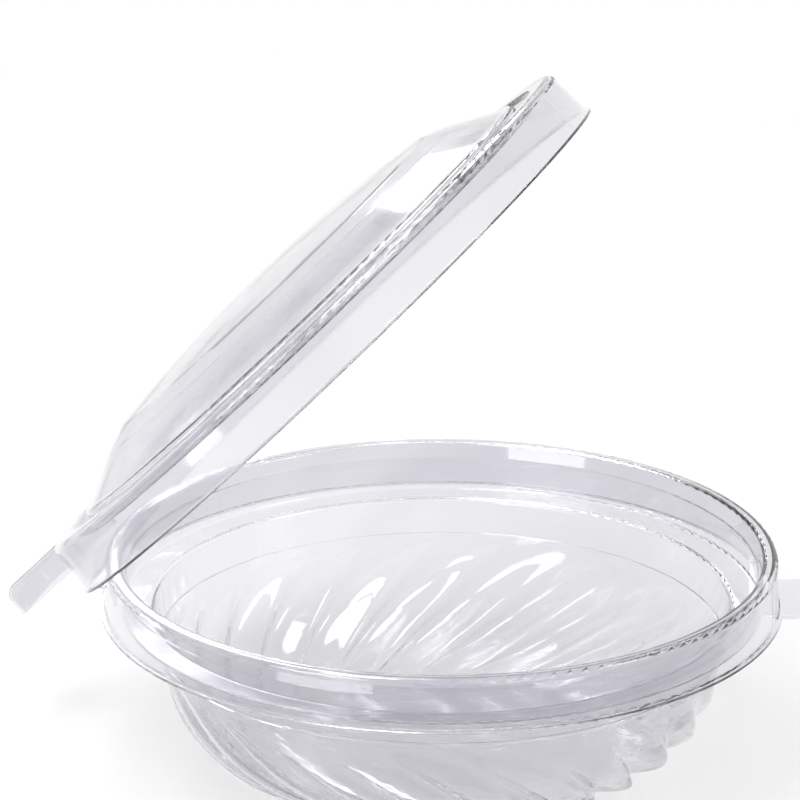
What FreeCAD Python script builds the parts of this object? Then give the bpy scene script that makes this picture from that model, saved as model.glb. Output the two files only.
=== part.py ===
import FreeCAD, Part
import math
import os
from FreeCAD import Vector

# Clear hinged bowl: a round bowl with a raised collar round its mouth, and a domed lid that
# swings on a film hinge at -X and fits over the collar. Millimetres, +Z up, the origin at the
# middle of the bowl's foot. The lid stands open as in ordinary use.

SIZES = [
    ("WallThickness", 0.6),
    ("BowlHeight", 50.0),
    ("CollarRadius", 79.0),
    ("CollarHeight", 12.0),
    ("CollarWidth", 4.4),
    ("CollarLean", 0.4),
    ("LipWidth", 1.0),
    ("SnapDepth", 0.9),
    ("SnapDrop", 3.6),
    ("SnapRunOut", 2.2),
    ("InnerDraft", 0.9),
    ("MouthRadius", 67.7),
    ("BandLean", 1.6),
    ("BandHeight", 9.0),
    ("FloorRadius", 40.0),
    ("FluteCount", 24),
    ("FluteDepth", 4.4),
    ("FluteLean", 46.0),
    ("FitGap", 0.6),
    ("HingeGap", 0.3),
    ("HingeReach", 4.2),
    ("HingeWidth", 24.0),
    ("GripLength", 22.0),
    ("GripHeight", 7.0),
    ("GripDrop", 1.2),
    ("GripCorner", 3.0),
    ("TabLength", 10.0),
    ("TabWidth", 24.0),
    ("TabCorner", 4.0),
    ("TabAngle", 15.0),
    ("GrooveWidth", 3.2),
    ("GrooveDepth", 2.8),
    ("GrooveDraft", 0.8),
    ("DomeShelf", 3.0),
    ("DomeShelfRise", 0.8),
    ("DomeShelfSlope", 0.4),
    ("ShoulderRadius", 54.5),
    ("ShoulderRise", 7.0),
    ("ShoulderBend", 3.5),
    ("CrownRadius", 48.0),
    ("CrownRise", 9.4),
    ("CrownBend", 5.0),
    ("CrownBulge", 2.9),
    ("CrownArc", 220.0),
    ("OpenAngle", 45.5),
]

doc = FreeCAD.newDocument("HingedBowl")
sheet = doc.addObject("Spreadsheet::Sheet", "Sizes")
for row, (alias, value) in enumerate(SIZES, start=1):
    sheet.set(f"A{row}", alias)
    sheet.set(f"B{row}", str(value))
    sheet.setAlias(f"B{row}", alias)
doc.recompute()


def size(alias):
    return float(sheet.get(alias))


wall = size("WallThickness")
rim_top = size("BowlHeight")
flange_top = rim_top - size("CollarHeight")
lip_radius = size("CollarRadius") + size("LipWidth")
hinge_x = -(size("CollarRadius") + size("HingeReach"))
hinge_z = flange_top + size("HingeGap") / 2

# Bends of the formed sheet follow its thickness
tight_bend = wall
foot_bend = 1.5 * wall
rim_bend = 2 * wall
lid_bend = 3 * wall


# A formed sheet seen in section: straight runs of its middle line joined by arcs

def rounded_line(corners):
    """Wire through (radius, height, bend) corners in the XZ plane."""
    points = [Vector(r, 0, z) for r, z, bend in corners]
    edges = []
    start = points[0]
    for i in range(1, len(points) - 1):
        before = (points[i - 1] - points[i]).normalize()
        after = (points[i + 1] - points[i]).normalize()
        bend = corners[i][2]
        half = before.getAngle(after) / 2
        reach = bend / math.tan(half)
        enter = points[i] + before * reach
        leave = points[i] + after * reach
        inward = (before + after).normalize()
        middle = points[i] + inward * (bend / math.sin(half) - bend)
        edges.append(Part.LineSegment(start, enter).toShape())
        edges.append(Part.Arc(enter, middle, leave).toShape())
        start = leave
    edges.append(Part.LineSegment(start, points[-1]).toShape())
    return Part.Wire(edges)


def turned_sheet(corners):
    """Solid of revolution of a sheet whose middle line runs through the corners."""
    line = rounded_line(corners)
    one_side = line.makeOffset2D(wall / 2, 0, False, True)
    other_side = line.makeOffset2D(-wall / 2, 0, False, True)
    ends = [Part.LineSegment(one_side.OrderedVertexes[k].Point,
                             other_side.OrderedVertexes[k].Point).toShape() for k in (0, -1)]
    outline = Part.Wire(Part.__sortEdges__(one_side.Edges + other_side.Edges + ends))
    return Part.Face(outline).revolve(Vector(0, 0, 0), Vector(0, 0, 1), 360)


def add_shape(name, shape):
    item = doc.addObject("Part::Feature", name)
    item.Shape = shape
    return item


# Bowl: collar, ledge and plain band

half_wall = wall / 2
collar_mid = size("CollarRadius") - half_wall
inner_foot = size("CollarRadius") - size("CollarWidth")
inner_top = inner_foot + size("InnerDraft")
snap_radius = inner_foot - size("SnapDepth") + half_wall
snap_height = rim_top - size("SnapDrop")
flange_mid = flange_top - half_wall
band_foot = flange_top - size("BandHeight")
band_foot_radius = size("MouthRadius") - size("BandLean")

collar_section = [
    (lip_radius, flange_mid, 0),
    (collar_mid, flange_mid, tight_bend),
    (collar_mid - size("CollarLean"), rim_top - half_wall, rim_bend),
    (inner_top, rim_top - half_wall, foot_bend),
    (snap_radius, snap_height, tight_bend),
    (inner_foot + half_wall, snap_height - size("SnapRunOut"), tight_bend),
    (inner_foot + half_wall, flange_mid, foot_bend),
    (size("MouthRadius") + half_wall, flange_mid, foot_bend),
    (band_foot_radius + half_wall, band_foot, 0),
]
collar = add_shape("CollarSheet", turned_sheet(collar_section))


# Bowl: swirling flutes from the plain band down to the flat foot

flute_count = int(size("FluteCount"))
flute_steps = 9
flute_top_angle = math.radians(76)   # where the quarter ellipse of the wall meets the band
flute_top = band_foot + wall         # the wall starts a little way up inside the band
flute_inset = 0.2 * wall             # and a little further in, so that the two fuse cleanly
flute_swell = 0.45                   # share of the wall over which a flute grows to full depth
flute_fade = 0.3                     # share over which it dies out again at the foot
wave = (-1.0, 0.25, 1.0, 0.25)       # wide ridge outside, narrow valley inside


def flute_meridian(turn):
    """Middle line of the fluted wall: radius and height for an angle of a quarter ellipse."""
    top_radius = band_foot_radius + half_wall - flute_inset
    reach = (top_radius - size("FloorRadius")) / math.sin(flute_top_angle)
    climb = (flute_top - half_wall) / (1 - math.cos(flute_top_angle))
    radius = size("FloorRadius") + reach * math.sin(turn)
    height = half_wall + climb * (1 - math.cos(turn))
    along = Vector(reach * math.cos(turn), 0, climb * math.sin(turn)).normalize()
    outward = Vector(along.z, 0, -along.x)
    return radius, height, outward


def flute_ring(radius, height, depth, swirl):
    """Closed curve with one rounded flute per turn of the wave, level at the given height."""
    points = []
    step = 2 * math.pi / flute_count / len(wave)
    for k in range(flute_count * len(wave)):
        reach = radius + depth * wave[k % len(wave)] / 2
        angle = k * step + swirl
        points.append(Vector(reach * math.cos(angle), reach * math.sin(angle), height))
    curve = Part.BSplineCurve()
    curve.interpolate(Points=points, PeriodicFlag=True)
    return Part.Wire(curve.toShape())


def fluted_solid(side):
    """Solid inside the fluted wall's outer (side 1) or inner (side -1) face."""
    rings = []
    swirl = 0.0
    last = None
    for step in range(flute_steps + 1):
        turn = flute_top_angle * (1 - step / flute_steps)
        radius, height, outward = flute_meridian(turn)
        if last is not None:
            run = math.hypot(radius - last[0], height - last[1])
            swirl += run * math.tan(math.radians(size("FluteLean"))) / ((radius + last[0]) / 2)
        last = (radius, height)
        share = step / flute_steps
        grown = math.sin(math.pi / 2 * min(1.0, share / flute_swell)) ** 2
        depth = size("FluteDepth") * grown * min(1.0, (1 - share) / flute_fade)
        rings.append(flute_ring(radius + side * half_wall * outward.x,
                                height + side * half_wall * outward.z, depth, swirl))
    return Part.makeLoft(rings, True, False)


flutes = add_shape("FlutedWall", fluted_solid(1).cut(fluted_solid(-1)))

# Bowl: the finger tab at the front and the ear that carries the film hinge

def rounded_plate(name, corner, corner_edges):
    """A box named NamePlate with its upright edges at one end rounded."""
    plate = doc.addObject("Part::Box", name + "Plate")
    doc.recompute()
    rounded = doc.addObject("Part::Fillet", name)
    rounded.Base = plate
    rounded.Edges = [(number, corner, corner) for number in corner_edges]
    return plate, rounded


def upright_edges(x_wanted):
    """Numbers of a unit box's upright edges that lie at one end of it."""
    numbers = []
    unit = Part.makeBox(1, 1, 1)
    for number, edge in enumerate(unit.Edges, start=1):
        first, last = edge.Vertexes[0].Point, edge.Vertexes[-1].Point
        if abs(first.x - last.x) < 0.1 and abs(first.y - last.y) < 0.1 and abs(first.x - x_wanted) < 0.1:
            numbers.append(number)
    return numbers


tab_plate, tab_rounded = rounded_plate("TabRounded", size("TabCorner"), upright_edges(1))
tab_plate.setExpression("Length", "Sizes.TabLength + Sizes.LipWidth * 3")
tab_plate.setExpression("Width", "Sizes.TabWidth")
tab_plate.setExpression("Height", "Sizes.WallThickness")
tab_plate.setExpression("Placement.Base.x", "Sizes.CollarRadius - Sizes.LipWidth * 2")
tab_plate.setExpression("Placement.Base.y", "-Sizes.TabWidth / 2")
tab_plate.setExpression("Placement.Base.z",
                        "Sizes.BowlHeight - Sizes.CollarHeight - Sizes.WallThickness")

ear_plate = doc.addObject("Part::Box", "EarPlate")
ear_plate.setExpression("Length", "Sizes.HingeReach - Sizes.HingeGap + Sizes.LipWidth * 2")
ear_plate.setExpression("Width", "Sizes.HingeWidth")
ear_plate.setExpression("Height", "Sizes.WallThickness")
ear_plate.setExpression("Placement.Base.x",
                        "-Sizes.CollarRadius - Sizes.HingeReach + Sizes.HingeGap")
ear_plate.setExpression("Placement.Base.y", "-Sizes.HingeWidth / 2")
ear_plate.setExpression("Placement.Base.z",
                        "Sizes.BowlHeight - Sizes.CollarHeight - Sizes.WallThickness")

inside_collar = doc.addObject("Part::Cylinder", "InsideCollar")
inside_collar.setExpression("Radius", "Sizes.CollarRadius - Sizes.WallThickness / 2")
inside_collar.setExpression("Height", "Sizes.BowlHeight")

tab = doc.addObject("Part::Cut", "Tab")
tab.Base = tab_rounded
tab.Tool = inside_collar
doc.recompute()
tab.Placement = FreeCAD.Placement(Vector(0, 0, 0), Vector(0, 0, 1), size("TabAngle"))

ear = doc.addObject("Part::Cut", "Ear")
ear.Base = ear_plate
ear.Tool = inside_collar

bowl = doc.addObject("Part::MultiFuse", "Bowl")
bowl.Shapes = [collar, flutes, tab, ear]
bowl.Label = "bowl"


# Lid, drawn closed: skirt over the collar, plug groove inside it, stepped dome and crown

lid_flange_mid = flange_top + size("HingeGap") + half_wall
skirt_mid = size("CollarRadius") + size("FitGap") + half_wall
band_mid = rim_top + size("FitGap") + half_wall
groove_mid = band_mid - size("GrooveDepth")

# The plug's lowest corner has to swing past the collar's inner edge as the lid opens
edge_across = inner_top - half_wall + hinge_x - size("FitGap")
edge_above = rim_top - hinge_z
plug_above = groove_mid - half_wall - hinge_z
plug_across = math.sqrt(edge_across ** 2 + edge_above ** 2 - plug_above ** 2)
snap_limit = inner_foot - size("SnapDepth") - size("FitGap")
plug_mid = min(-hinge_x - plug_across, snap_limit) - half_wall

dome_foot = plug_mid - size("GrooveWidth")
shelf_end = dome_foot - size("DomeShelf")

shelf_height = band_mid + size("DomeShelfRise")
crown_foot = band_mid + size("CrownRise")
crown_top = crown_foot + size("CrownBulge")
crown_slope_end = 0.62 * size("CrownRadius")
crown_flat_start = 0.25 * size("CrownRadius")

lid_section = [
    (skirt_mid + size("LipWidth"), lid_flange_mid, 0),
    (skirt_mid, lid_flange_mid, tight_bend),
    (skirt_mid - size("CollarLean"), band_mid, lid_bend),
    (plug_mid + size("GrooveDraft"), band_mid, rim_bend),
    (plug_mid, groove_mid, foot_bend),
    (dome_foot, groove_mid, foot_bend),
    (dome_foot - size("GrooveDraft"), shelf_height, foot_bend),
    (shelf_end, shelf_height + size("DomeShelfSlope"), rim_bend),
    (size("ShoulderRadius"), band_mid + size("ShoulderRise"), size("ShoulderBend")),
    (size("CrownRadius"), crown_foot, size("CrownBend")),
    (crown_slope_end, crown_top - 0.3 * size("CrownBulge"), size("CrownArc")),
    (crown_flat_start, crown_top, size("CrownArc")),
    (0, crown_top, 0),
]
lid_sheet = add_shape("LidSheet", turned_sheet(lid_section))


# Lid: the hollow grip behind the hinge, and the leaf that meets the bowl's ear

grip_top = "Sizes.BowlHeight + Sizes.FitGap + Sizes.WallThickness - Sizes.GripDrop"
grip_start = "-Sizes.CollarRadius - Sizes.FitGap - Sizes.WallThickness - Sizes.GripLength"

grip_outside = doc.addObject("Part::Box", "GripOutside")
grip_outside.setExpression("Length", "Sizes.GripLength + 4 * Sizes.LipWidth")
grip_outside.setExpression("Width", "Sizes.HingeWidth")
grip_outside.setExpression("Height", "Sizes.GripHeight")
grip_outside.setExpression("Placement.Base.x", grip_start)
grip_outside.setExpression("Placement.Base.y", "-Sizes.HingeWidth / 2")
grip_outside.setExpression("Placement.Base.z", grip_top + " - Sizes.GripHeight")

grip_inside = doc.addObject("Part::Box", "GripInside")
grip_inside.setExpression("Length", "Sizes.GripLength + 4 * Sizes.LipWidth")
grip_inside.setExpression("Width", "Sizes.HingeWidth - 2 * Sizes.WallThickness")
grip_inside.setExpression("Height", "Sizes.GripHeight")
grip_inside.setExpression("Placement.Base.x", grip_start + " + Sizes.WallThickness")
grip_inside.setExpression("Placement.Base.y", "-Sizes.HingeWidth / 2 + Sizes.WallThickness")
grip_inside.setExpression("Placement.Base.z",
                          grip_top + " - Sizes.GripHeight - Sizes.WallThickness")
doc.recompute()


def end_edges(box_object):
    """Numbers of the edges round the top and the far end of a grip box, to be rounded."""
    shape = box_object.Shape
    low, high = shape.BoundBox, shape.BoundBox
    numbers = []
    for number, edge in enumerate(shape.Edges, start=1):
        middle = edge.CenterOfMass
        at_end = abs(middle.x - low.XMin) < 0.01 and middle.z > low.ZMin + 0.01
        along_top = abs(middle.z - high.ZMax) < 0.01 and abs(middle.x - high.XMax) > 0.01
        if at_end or along_top:
            numbers.append(number)
    return numbers


grip_outer = doc.addObject("Part::Fillet", "GripOuter")
grip_outer.Base = grip_outside
grip_outer.Edges = [(n, size("GripCorner"), size("GripCorner")) for n in end_edges(grip_outside)]
grip_inner = doc.addObject("Part::Fillet", "GripInner")
grip_inner.Base = grip_inside
inner_corner = size("GripCorner") - wall
grip_inner.Edges = [(n, inner_corner, inner_corner) for n in end_edges(grip_inside)]

grip_shell = doc.addObject("Part::Cut", "GripShell")
grip_shell.Base = grip_outer
grip_shell.Tool = grip_inner

inside_skirt = doc.addObject("Part::Cylinder", "InsideSkirt")
inside_skirt.setExpression("Radius", "Sizes.CollarRadius + Sizes.FitGap + Sizes.WallThickness / 3")
inside_skirt.setExpression("Height", "2 * Sizes.BowlHeight")

grip = doc.addObject("Part::Cut", "Grip")
grip.Base = grip_shell
grip.Tool = inside_skirt

leaf_plate = doc.addObject("Part::Box", "LeafPlate")
leaf_plate.setExpression("Length", "Sizes.HingeReach - Sizes.HingeGap + Sizes.LipWidth")
leaf_plate.setExpression("Width", "Sizes.HingeWidth")
leaf_plate.setExpression("Height", "Sizes.WallThickness")
leaf_plate.setExpression("Placement.Base.x",
                         "-Sizes.CollarRadius - Sizes.HingeReach + Sizes.HingeGap")
leaf_plate.setExpression("Placement.Base.y", "-Sizes.HingeWidth / 2")
leaf_plate.setExpression("Placement.Base.z",
                         "Sizes.BowlHeight - Sizes.CollarHeight + Sizes.HingeGap")

leaf = doc.addObject("Part::Cut", "Leaf")
leaf.Base = leaf_plate
leaf.Tool = inside_skirt

lid = doc.addObject("Part::MultiFuse", "Lid")
lid.Shapes = [lid_sheet, grip, leaf]
lid.Label = "lid"
doc.recompute()

swing = FreeCAD.Rotation(Vector(0, -1, 0), size("OpenAngle"))
hinge_point = Vector(hinge_x, 0, hinge_z)
lid.Placement = FreeCAD.Placement(Vector(0, 0, 0), swing, hinge_point)
doc.recompute()


# Every piece has to be sound before it is written

pieces = [bowl, lid]
for item in doc.Objects:
    if "Invalid" in item.State or "Error" in item.State:
        raise RuntimeError(f"{item.Name} failed: {item.State}")
os.makedirs("parts", exist_ok=True)
for piece in pieces:
    shape = piece.Shape
    if shape.isNull() or not shape.isValid() or len(shape.Solids) != 1:
        raise RuntimeError(f"{piece.Label} isn't one sound solid: {len(shape.Solids)}")
for piece in pieces:
    piece.Shape.exportStep(f"parts/{piece.Label}.step")
    print(piece.Label, round(piece.Shape.Volume / 1000, 2), "cm3")
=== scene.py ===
import math

import bmesh
import bpy
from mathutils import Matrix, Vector


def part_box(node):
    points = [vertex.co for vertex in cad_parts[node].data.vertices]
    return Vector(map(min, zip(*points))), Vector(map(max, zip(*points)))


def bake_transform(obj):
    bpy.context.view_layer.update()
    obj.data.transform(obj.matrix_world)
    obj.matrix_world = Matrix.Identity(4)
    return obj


# The looks of the clear hinged bowl: clear glossy sheet on both formed pieces, the film hinge
# between them, a pale studio round them and the camera of the photograph. Metres.

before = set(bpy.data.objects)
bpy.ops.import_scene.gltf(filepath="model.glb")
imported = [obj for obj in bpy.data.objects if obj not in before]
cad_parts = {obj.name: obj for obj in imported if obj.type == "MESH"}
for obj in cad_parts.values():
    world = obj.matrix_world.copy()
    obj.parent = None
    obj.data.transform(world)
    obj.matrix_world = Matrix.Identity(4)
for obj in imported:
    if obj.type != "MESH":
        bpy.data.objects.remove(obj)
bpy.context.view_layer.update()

# Sizes that the film hinge takes from the part, at its rest pose

SHEET = 0.0006
HINGE_X = -0.0832
HINGE_Z = 0.03815
HINGE_WIDTH = 0.024
HINGE_GAP = 0.0003       # from the axis to the end of the bowl's ear, and of the lid's leaf
OPEN_ANGLE = math.radians(45.5)
FILM_THICKNESS = 0.00024
FILM_ROWS = 25


# Small helpers for meshes and node trees

def add_mesh(name, vertices, faces):
    mesh = bpy.data.meshes.new(name)
    mesh.from_pydata(vertices, [], faces)
    shape = bmesh.new()
    shape.from_mesh(mesh)
    bmesh.ops.recalc_face_normals(shape, faces=shape.faces)
    shape.to_mesh(mesh)
    shape.free()
    item = bpy.data.objects.new(name, mesh)
    bpy.context.scene.collection.objects.link(item)
    return item


def new_material(name):
    material = bpy.data.materials.new(name)
    material.use_nodes = True
    tree = material.node_tree
    tree.nodes.clear()
    return material, tree


def add_node(tree, kind, **inputs):
    """A node with the inputs named; an underscore stands for a blank in an input's name."""
    node = tree.nodes.new(kind)
    for key, value in inputs.items():
        node.inputs[key.replace("_", " ")].default_value = value
    return node


def grey(level):
    return (level, level, level, 1)


def mix_colours(tree, factor, first, second):
    """The node that goes from the first colour to the second with the factor."""
    mix = tree.nodes.new("ShaderNodeMix")
    mix.data_type = "RGBA"
    tree.links.new(factor, mix.inputs["Factor"])
    for name, colour in (("A", first), ("B", second)):
        if isinstance(colour, tuple):
            mix.inputs[name].default_value = (*colour, 1)
        else:
            tree.links.new(colour, mix.inputs[name])
    return mix.outputs["Result"]


def mix_shaders(tree, factor, first, second):
    """The node that goes from the first shader to the second with the factor."""
    mix = tree.nodes.new("ShaderNodeMixShader")
    tree.links.new(factor, mix.inputs["Fac"])
    tree.links.new(first, mix.inputs[1])
    tree.links.new(second, mix.inputs[2])
    return mix.outputs["Shader"]


# Clear formed sheet: glossy, faintly violet, darker where the eye looks along it, with painted
# dark reflection patches

SHEET_IOR = 1.44
FACING_TINT = (0.848, 0.842, 0.865)
EDGE_TINT = (0.82, 0.816, 0.845)
# Painted reflection: the colour of the dark blue-grey patches painted on the sheet in place of
# dark reflections
PAINTED_REFLECTION_TINT = (0.785, 0.782, 0.82)
EDGE_BLEND = 0.35
# Size and spread of the painted reflection patches
PAINTED_REFLECTION_SCALE = 18.0
PAINTED_REFLECTION_RANGE = (0.45, 0.75)
HAZE_SCALE = 90.0
ROUGHNESS_RANGE = (0.02, 0.09)
RIPPLE_SCALE = 45.0
RIPPLE_STRENGTH = 0.35
RIPPLE_HEIGHT = 0.0004


def clear_sheet():
    material, tree = new_material("clear_sheet_look")
    out = tree.nodes.new("ShaderNodeOutputMaterial")
    shader = add_node(tree, "ShaderNodeBsdfPrincipled", Metallic=0.0, IOR=SHEET_IOR,
                      Transmission_Weight=1.0)
    tree.links.new(shader.outputs["BSDF"], out.inputs["Surface"])
    place = tree.nodes.new("ShaderNodeTexCoord").outputs["Object"]

    def noise(scale, **settings):
        texture = add_node(tree, "ShaderNodeTexNoise", Scale=scale, **settings)
        tree.links.new(place, texture.inputs["Vector"])
        return texture.outputs["Fac"]

    # Painted reflection: random darker blue-grey patches on the sheet, standing in for dark
    # reflections
    painted_reflection_mask = add_node(tree, "ShaderNodeMapRange", From_Min=PAINTED_REFLECTION_RANGE[0], From_Max=PAINTED_REFLECTION_RANGE[1])
    tree.links.new(noise(PAINTED_REFLECTION_SCALE, Detail=2.0, Distortion=0.6), painted_reflection_mask.inputs["Value"])
    tint_with_painted_reflection = mix_colours(tree, painted_reflection_mask.outputs["Result"], FACING_TINT, PAINTED_REFLECTION_TINT)
    facing = add_node(tree, "ShaderNodeLayerWeight", Blend=EDGE_BLEND)
    tint = mix_colours(tree, facing.outputs["Facing"], tint_with_painted_reflection, EDGE_TINT)
    tree.links.new(tint, shader.inputs["Base Color"])

    polish = add_node(tree, "ShaderNodeMapRange", To_Min=ROUGHNESS_RANGE[0],
                      To_Max=ROUGHNESS_RANGE[1])
    tree.links.new(noise(HAZE_SCALE, Detail=3.0), polish.inputs["Value"])
    tree.links.new(polish.outputs["Result"], shader.inputs["Roughness"])

    bump = add_node(tree, "ShaderNodeBump", Strength=RIPPLE_STRENGTH, Distance=RIPPLE_HEIGHT)
    tree.links.new(noise(RIPPLE_SCALE, Detail=1.0), bump.inputs["Height"])
    tree.links.new(bump.outputs["Normal"], shader.inputs["Normal"])
    return material


sheet_look = clear_sheet()
for node in ("bowl", "lid"):
    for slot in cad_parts[node].material_slots:
        slot.material = sheet_look


# The film hinge: one thin strip from the bowl's ear round the axis to the lid's leaf

def hinge_film():
    """A curved strip on a small circle round the axis, from ear to leaf by way of the back."""
    across = HINGE_GAP
    up = HINGE_GAP / 2 + SHEET / 2
    radius = math.hypot(across, up)
    ear_angle = math.atan2(-up, across)
    leaf_angle = math.atan2(up, across) + OPEN_ANGLE - 2 * math.pi

    def on_circle(reach, angle, side=0):
        return (HINGE_X + reach * math.cos(angle), side * HINGE_WIDTH / 2,
                HINGE_Z + reach * math.sin(angle))

    vertices = []
    for reach in (radius - FILM_THICKNESS / 2, radius + FILM_THICKNESS / 2):
        for row in range(FILM_ROWS):
            angle = ear_angle + (leaf_angle - ear_angle) * row / (FILM_ROWS - 1)
            vertices += [on_circle(reach, angle, side) for side in (-1, 1)]

    # Inner and outer face, the two long edges, and last the two ends
    faces = []
    outer = FILM_ROWS * 2
    for row in range(FILM_ROWS - 1):
        a, b, c, d = row * 2, row * 2 + 1, row * 2 + 3, row * 2 + 2
        faces += [(a, b, c, d), (outer + d, outer + c, outer + b, outer + a),
                  (a, d, outer + d, outer + a), (b, outer + b, outer + c, c)]
    last = outer - 2
    faces += [(0, outer, outer + 1, 1), (last, last + 1, outer + last + 1, outer + last)]

    film = add_mesh("hinge_film", vertices, faces)
    film.data.materials.append(sheet_look)
    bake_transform(film)


hinge_film()


# Studio: white floor that keeps a soft shadow, white surroundings, soft lamps

FLOOR_HALF_WIDTH = 4.0
FLOOR_DROP = 0.0002
FLOOR_GREY = 0.8             # the floor as it lights the object
SHADOW_GREY = 0.24           # the lit part of the floor as it is seen near the object
GLOW_STRENGTH = 0.62         # the glowing part of it
GLOW_END = 0.2               # from here the floor turns plain white
WHITE_START = 0.6            # and from here it is
SKY_COLOUR = (0.96, 0.98, 1, 1)
SKY_STRENGTH = 0.6
LAMP_AIM = Vector((0, 0, 0.06))


def seen_directly(tree):
    """1 for camera, mirror and see-through rays, so that the surroundings look white in all."""
    path = tree.nodes.new("ShaderNodeLightPath")
    seen = path.outputs["Is Camera Ray"]
    for ray in ("Is Glossy Ray", "Is Transmission Ray"):
        either = tree.nodes.new("ShaderNodeMath")
        either.operation = "MAXIMUM"
        tree.links.new(seen, either.inputs[0])
        tree.links.new(path.outputs[ray], either.inputs[1])
        seen = either.outputs["Value"]
    return seen


def floor():
    half = FLOOR_HALF_WIDTH
    corners = [(-half, -half, 0), (half, -half, 0), (half, half, 0), (-half, half, 0)]
    plane = add_mesh("floor", corners, [(0, 1, 2, 3)])
    plane.location.z = -FLOOR_DROP
    material, tree = new_material("floor_white")
    out = tree.nodes.new("ShaderNodeOutputMaterial")
    lit = add_node(tree, "ShaderNodeBsdfDiffuse", Color=grey(FLOOR_GREY))

    # Near the object the white is part glow and part lit floor, which keeps the shadow
    shadow = add_node(tree, "ShaderNodeBsdfDiffuse", Color=grey(SHADOW_GREY))
    glow = add_node(tree, "ShaderNodeEmission", Color=grey(1), Strength=GLOW_STRENGTH)
    near = tree.nodes.new("ShaderNodeAddShader")
    tree.links.new(shadow.outputs["BSDF"], near.inputs[0])
    tree.links.new(glow.outputs["Emission"], near.inputs[1])

    # Further out it is plain white
    white = add_node(tree, "ShaderNodeEmission", Color=grey(1), Strength=1.0)
    place = tree.nodes.new("ShaderNodeNewGeometry")
    distance = tree.nodes.new("ShaderNodeVectorMath")
    distance.operation = "LENGTH"
    tree.links.new(place.outputs["Position"], distance.inputs[0])
    outward = add_node(tree, "ShaderNodeMapRange", From_Min=GLOW_END, From_Max=WHITE_START)
    outward.interpolation_type = "SMOOTHSTEP"
    tree.links.new(distance.outputs["Value"], outward.inputs["Value"])
    seen = mix_shaders(tree, outward.outputs["Result"], near.outputs["Shader"],
                       white.outputs["Emission"])

    look = mix_shaders(tree, seen_directly(tree), lit.outputs["BSDF"], seen)
    tree.links.new(look, out.inputs["Surface"])
    plane.data.materials.append(material)


def surroundings():
    world = bpy.data.worlds.new("studio")
    bpy.context.scene.world = world
    world.use_nodes = True
    tree = world.node_tree
    tree.nodes.clear()
    out = tree.nodes.new("ShaderNodeOutputWorld")
    lit = add_node(tree, "ShaderNodeBackground", Color=SKY_COLOUR, Strength=SKY_STRENGTH)
    seen = add_node(tree, "ShaderNodeBackground", Color=grey(1), Strength=1.0)
    look = mix_shaders(tree, seen_directly(tree), lit.outputs["Background"],
                       seen.outputs["Background"])
    tree.links.new(look, out.inputs["Surface"])


def lamp(name, place, watts, width):
    data = bpy.data.lights.new(name, "AREA")
    data.shape = "DISK"
    data.energy = watts
    data.size = width
    item = bpy.data.objects.new(name, data)
    item.location = place
    item.rotation_euler = (LAMP_AIM - item.location).to_track_quat("-Z", "Y").to_euler()
    bpy.context.scene.collection.objects.link(item)


floor()
surroundings()
lamp("key_softbox", (-0.3, -0.6, 1.2), watts=10.0, width=0.5)
lamp("left_softbox", (-0.5, -1.0, 0.45), watts=8.0, width=0.7)
lamp("side_softbox", (0.9, -0.1, 0.7), watts=3.0, width=0.4)
lamp("back_softbox", (-0.5, 0.9, 0.6), watts=3.0, width=0.4)
lamp("top_softbox", (-0.25, -0.05, 1.25), watts=8.0, width=0.5)


# Camera: the photograph's long lens, aimed so that the middle of the bowl's rim falls where the
# photograph has it, on an 800 pixel square picture

PICTURE = 800
FOCAL_PIXELS = 5467.5
RIM_IN_PICTURE = (442.2, 551.2)
CAMERA_AZIMUTH = math.radians(13.95)
CAMERA_ELEVATION = math.radians(21.07)
CAMERA_DISTANCE = 1.28
SENSOR_WIDTH = 36            # millimetres


def camera():
    data = bpy.data.cameras.new("camera")
    data.sensor_width = SENSOR_WIDTH
    data.lens = FOCAL_PIXELS / PICTURE * data.sensor_width
    item = bpy.data.objects.new("camera", data)
    bpy.context.scene.collection.objects.link(item)
    bpy.context.scene.camera = item
    level = math.cos(CAMERA_ELEVATION)
    back = Vector((math.sin(CAMERA_AZIMUTH) * level, -math.cos(CAMERA_AZIMUTH) * level,
                   math.sin(CAMERA_ELEVATION)))
    right = Vector((math.cos(CAMERA_AZIMUTH), math.sin(CAMERA_AZIMUTH), 0))
    up = back.cross(right)
    rim = Vector((0, 0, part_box("bowl")[1][2]))
    per_pixel = CAMERA_DISTANCE / FOCAL_PIXELS
    aim = (rim - right * (RIM_IN_PICTURE[0] - PICTURE / 2) * per_pixel
           + up * (RIM_IN_PICTURE[1] - PICTURE / 2) * per_pixel)
    item.location = rim + back * CAMERA_DISTANCE
    item.rotation_euler = (aim - item.location).to_track_quat("-Z", "Y").to_euler()


camera()

# Light crosses many walls of the sheet and turns many times inside its edges, which would look
# black if its path were cut short
LIGHT_BOUNCES = 32

scene = bpy.context.scene
scene.view_settings.view_transform = "Standard"
scene.cycles.max_bounces = LIGHT_BOUNCES
scene.cycles.transmission_bounces = LIGHT_BOUNCES
scene.cycles.glossy_bounces = LIGHT_BOUNCES
